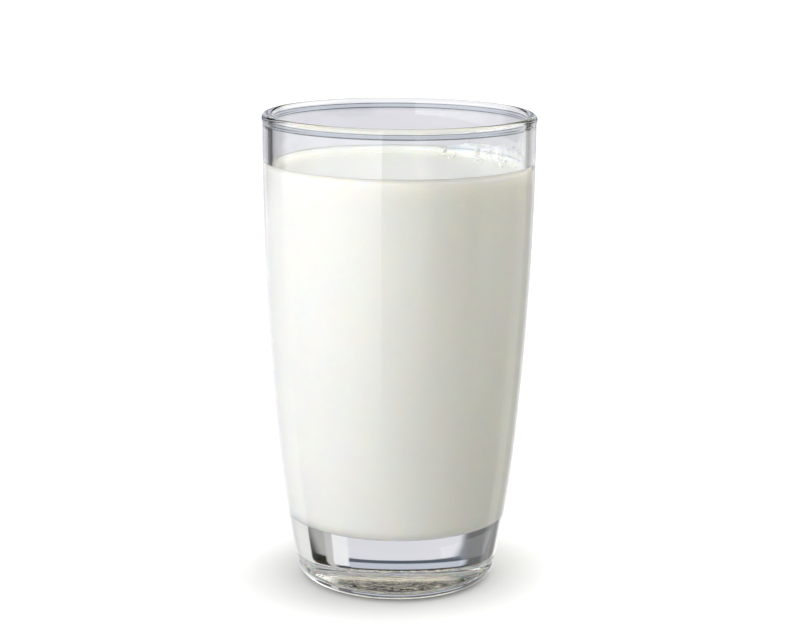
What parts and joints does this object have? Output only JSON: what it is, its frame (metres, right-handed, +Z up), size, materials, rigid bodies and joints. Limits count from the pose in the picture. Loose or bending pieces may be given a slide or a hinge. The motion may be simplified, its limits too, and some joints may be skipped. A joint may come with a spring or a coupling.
{
  "type": "glass of milk",
  "caption": "Clear heavy-based tumbler with gently bowed sides and a rounded rim, filled with milk to just below the rim, for drinking and for table settings.",
  "frame": {"origin": "middle of the ring that the glass stands on, at table height", "axes": "+Z up along the axis of the glass, out of its mouth; the glass is round, so +X and +Y are free"},
  "size_m": [0.076, 0.076, 0.1328],
  "materials": {
    "glass": "clear pressed glass with a fire-polished rim",
    "milk": "opaque white liquid, wet and glossy"
  },
  "bodies": {
    "root": {"glass": "glass", "milk": "milk"}
  },
  "joints": []
}
